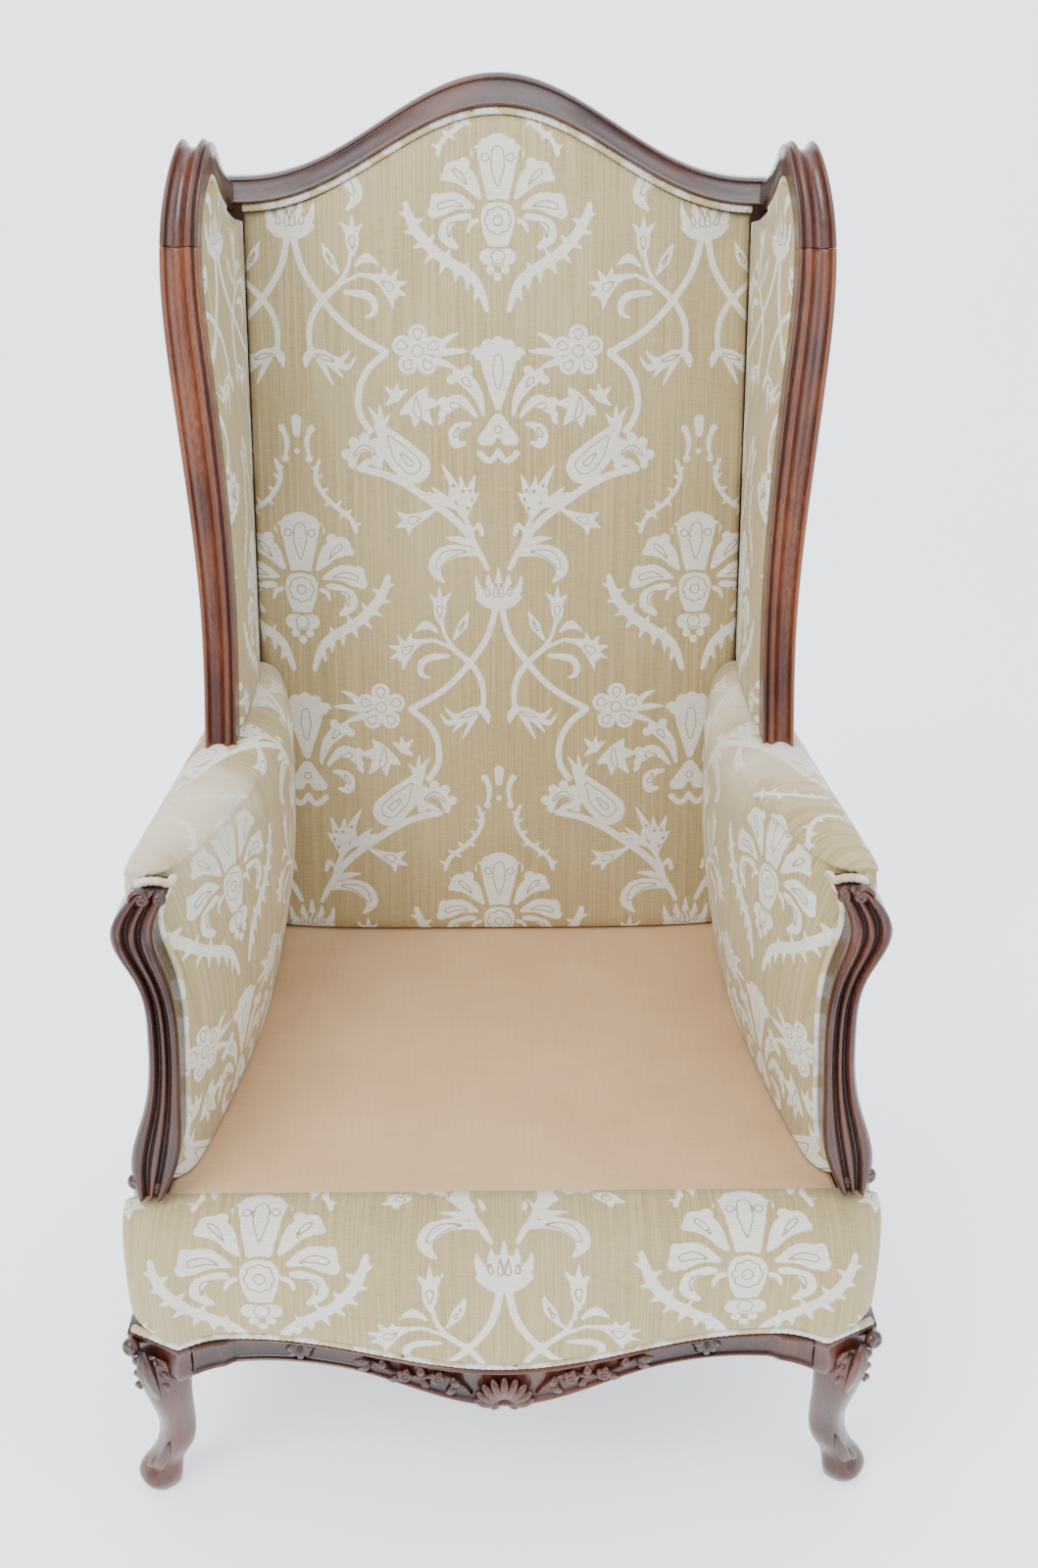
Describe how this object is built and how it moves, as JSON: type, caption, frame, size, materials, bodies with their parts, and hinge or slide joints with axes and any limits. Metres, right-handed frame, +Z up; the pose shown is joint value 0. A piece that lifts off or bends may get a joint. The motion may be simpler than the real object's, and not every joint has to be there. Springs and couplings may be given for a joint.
{
  "type": "wing armchair",
  "caption": "High-backed wing armchair with a carved show-wood frame, cabriole front legs, an arched crest and a floral woven cover.",
  "frame": {"origin": "on the floor under the middle of the chair's bounding box", "axes": "+Z up, +Y towards the back, -Y the way the sitter faces, X across, so the left-named pieces at -X are on the left as seen from the front"},
  "size_m": [0.7092, 0.7965, 1.2425],
  "materials": {
    "show_wood": "French-polished reddish-brown mahogany, worn on the edges",
    "frame_wood": "unfinished beech",
    "webbing": "woven jute",
    "steel": "plain wire and screws",
    "hessian": "coarse hessian",
    "stuffing": "hair and cotton felt",
    "dust_cloth": "black cambric",
    "deck_cloth": "plain peach-tan platform cloth",
    "damask": "gold-tan ground with off-white woven flowers",
    "welt": "covered cord in the same cloth"
  },
  "bodies": {
    "root": {"front_rail": "show_wood", "crest_rail": "show_wood", "front_leg_left": "show_wood", "front_leg_right": "show_wood", "back_post_left": "show_wood", "back_post_right": "show_wood", "wing_stile_left": "show_wood", "wing_stile_right": "show_wood", "wing_ear_left": "show_wood", "wing_ear_right": "show_wood", "arm_facing_left": "show_wood", "arm_facing_right": "show_wood", "side_seat_rail_left": "show_wood", "side_seat_rail_right": "show_wood", "back_seat_rail": "frame_wood", "back_tack_rail": "frame_wood", "corner_blocks": "frame_wood", "arm_post_left": "frame_wood", "arm_post_right": "frame_wood", "arm_rail_left": "frame_wood", "arm_rail_right": "frame_wood", "arm_tack_rail_left": "frame_wood", "arm_tack_rail_right": "frame_wood", "wing_tack_rail_left": "frame_wood", "wing_tack_rail_right": "frame_wood", "seat_webbing": "webbing", "back_webbing": "webbing", "frame_dowels": "frame_wood", "block_screws": "steel", "arm_webbing_left": "webbing", "arm_webbing_right": "webbing", "seat_springs": "steel", "spring_hessian": "hessian", "seat_stuffing": "stuffing", "dust_cover": "dust_cloth", "seat_deck_cover": "deck_cloth", "front_border": "damask", "inside_back_pad": "damask", "inside_wing_pad_left": "damask", "inside_wing_pad_right": "damask", "arm_pad_left": "damask", "arm_pad_right": "damask", "outside_arm_panel_left": "damask", "outside_arm_panel_right": "damask", "outside_wing_panel_left": "damask", "outside_wing_panel_right": "damask", "outside_back_panel": "damask", "front_welt": "welt", "crest_welt": "welt", "side_welt_left": "welt", "side_welt_right": "welt", "wing_welt_left": "welt", "wing_welt_right": "welt", "facing_welt_left": "welt", "facing_welt_right": "welt"}
  },
  "joints": []
}
